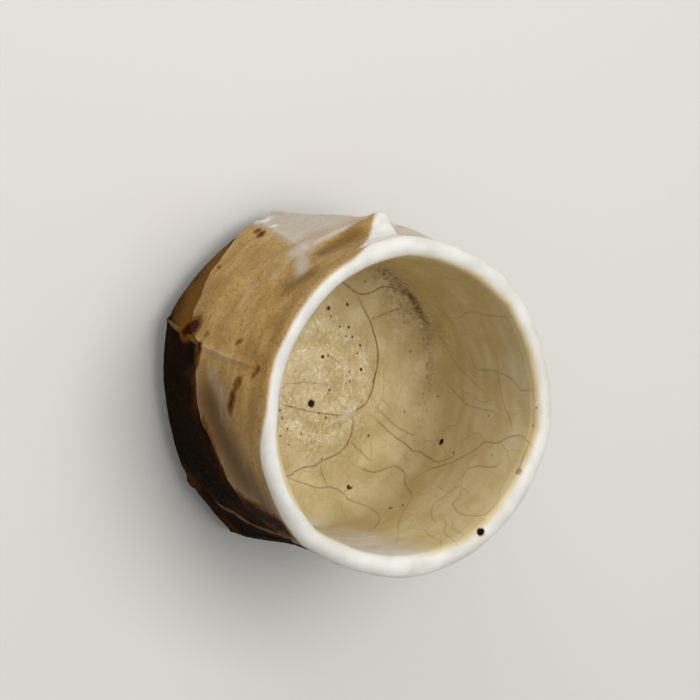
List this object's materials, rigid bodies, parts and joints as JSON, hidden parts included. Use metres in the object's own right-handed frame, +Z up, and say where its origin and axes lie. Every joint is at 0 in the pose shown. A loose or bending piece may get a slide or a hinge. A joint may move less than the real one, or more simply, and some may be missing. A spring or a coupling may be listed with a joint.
{
  "type": "yunomi teacup",
  "caption": "Squat hand-thrown stoneware tea cup with wire-cut facets, torn ridges, a pale crackled glaze inside and over the lip, and bare dark clay above a foot ring.",
  "frame": {"origin": "on the standing surface, under the middle of the cup's box", "axes": "+Z up through the mouth; -Y is the side with the high glaze hem that the picture shows; -X is the side with the torn horn under the lip"},
  "size_m": [0.0893, 0.0911, 0.06],
  "materials": {
    "iron_stoneware": "bare, dark, dry and slightly gritty",
    "foot_stoneware": "bare, turned, dry",
    "cream_glaze": "satin gloss, crackled, with iron specks",
    "tan_glaze": "satin, tan to white, amber where it thins"
  },
  "bodies": {
    "root": {"clay_body": "iron_stoneware", "foot_ring": "foot_stoneware", "liner_glaze": "cream_glaze", "outer_glaze": "tan_glaze"}
  },
  "joints": []
}
